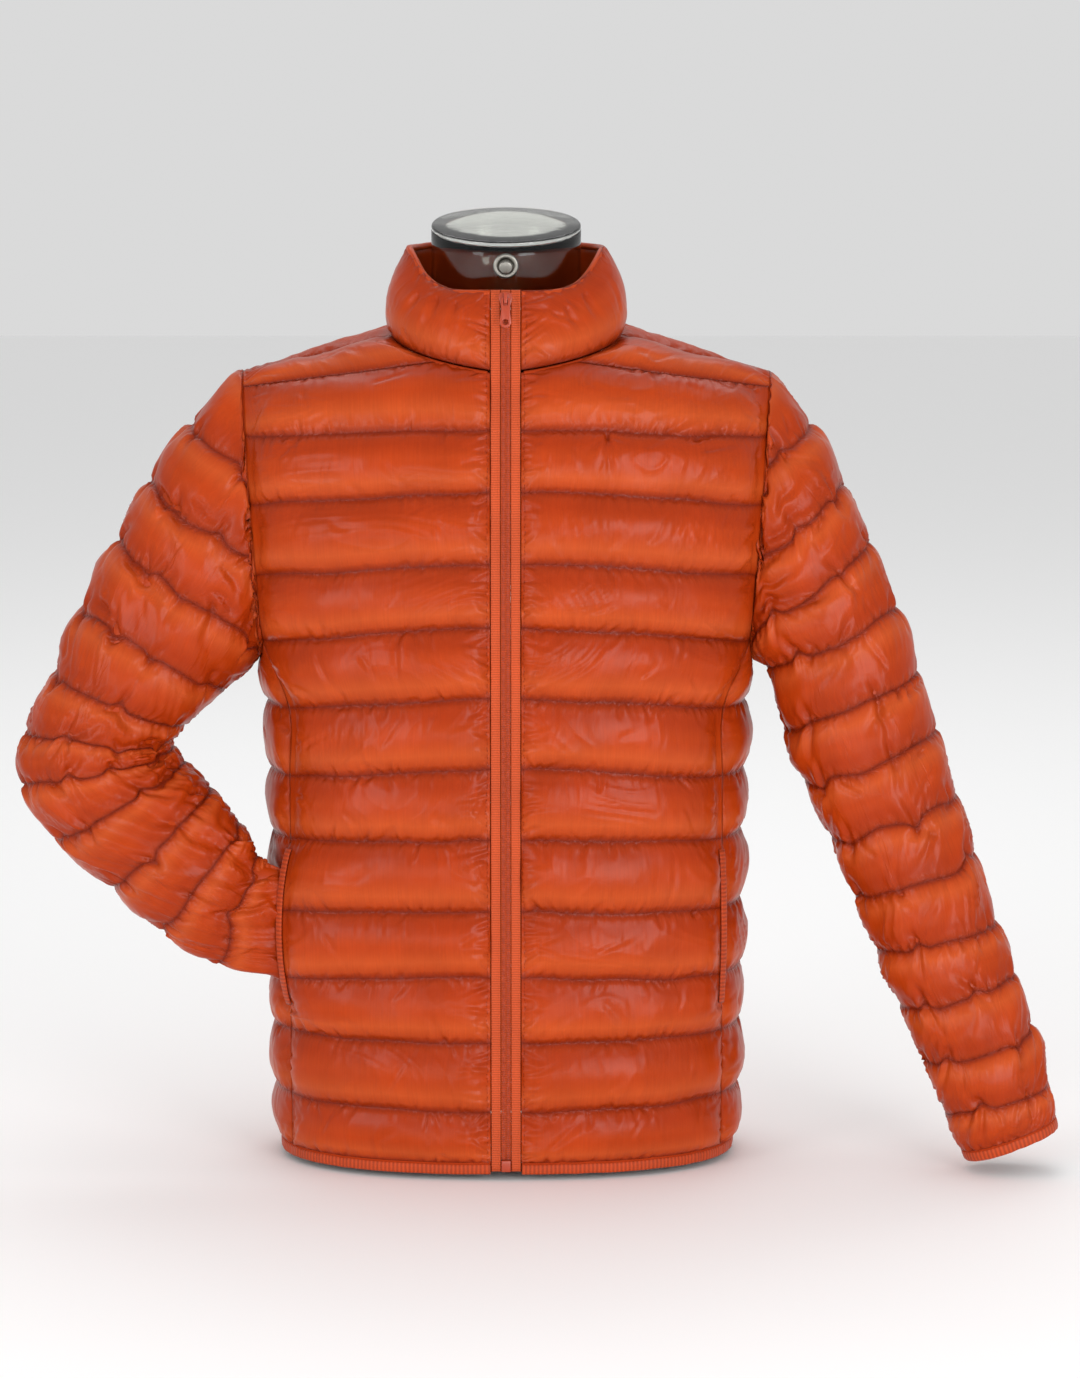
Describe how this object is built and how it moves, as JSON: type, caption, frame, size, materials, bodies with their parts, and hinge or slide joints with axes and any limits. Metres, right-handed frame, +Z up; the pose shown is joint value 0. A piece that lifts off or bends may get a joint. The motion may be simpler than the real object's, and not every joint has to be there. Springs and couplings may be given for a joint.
{
  "type": "quilted down jacket on a bust form",
  "caption": "Light quilted down jacket with a stand collar and full front zip, worn by a clear limbless bust form, right cuff tucked into its pocket.",
  "frame": {"origin": "middle of the bust form's flat base, which is the plane the part stands on", "axes": "+Z up, -Y out of the zip side, +X to the wearer's left"},
  "size_m": [0.8152, 0.2627, 0.738],
  "materials": {
    "shell": "glossy light woven nylon, quilted",
    "trim": "matt elastic binding",
    "tape": "woven zip tape",
    "chain": "coloured coil and painted slider",
    "clear": "clear moulded plastic",
    "metal": "plated screw"
  },
  "bodies": {
    "jacket": {"front_right": "shell", "front_left": "shell", "side_right": "shell", "side_left": "shell", "back": "shell", "sleeve_left": "shell", "sleeve_right": "shell", "collar": "shell", "hem_binding": "trim", "cuff_binding_left": "trim", "cuff_binding_right": "trim", "pocket_binding_right": "trim", "pocket_binding_left": "trim", "zip_tape_left": "tape", "zip_tape_right": "tape", "zip_chain": "chain", "zip_box": "chain", "zip_slider": "chain", "bust_form": "clear", "neck_cap": "clear", "neck_bolt": "metal"},
    "pull_tab": {"zip_pull": "chain"}
  },
  "joints": [
    {"name": "pull_tab_swing", "type": "hinge", "parent": "jacket", "child": "pull_tab", "pos_m": [0, -0.08664, 0.67412], "axis": [-1, 0, 0], "range_deg": [0, 125]}
  ]
}
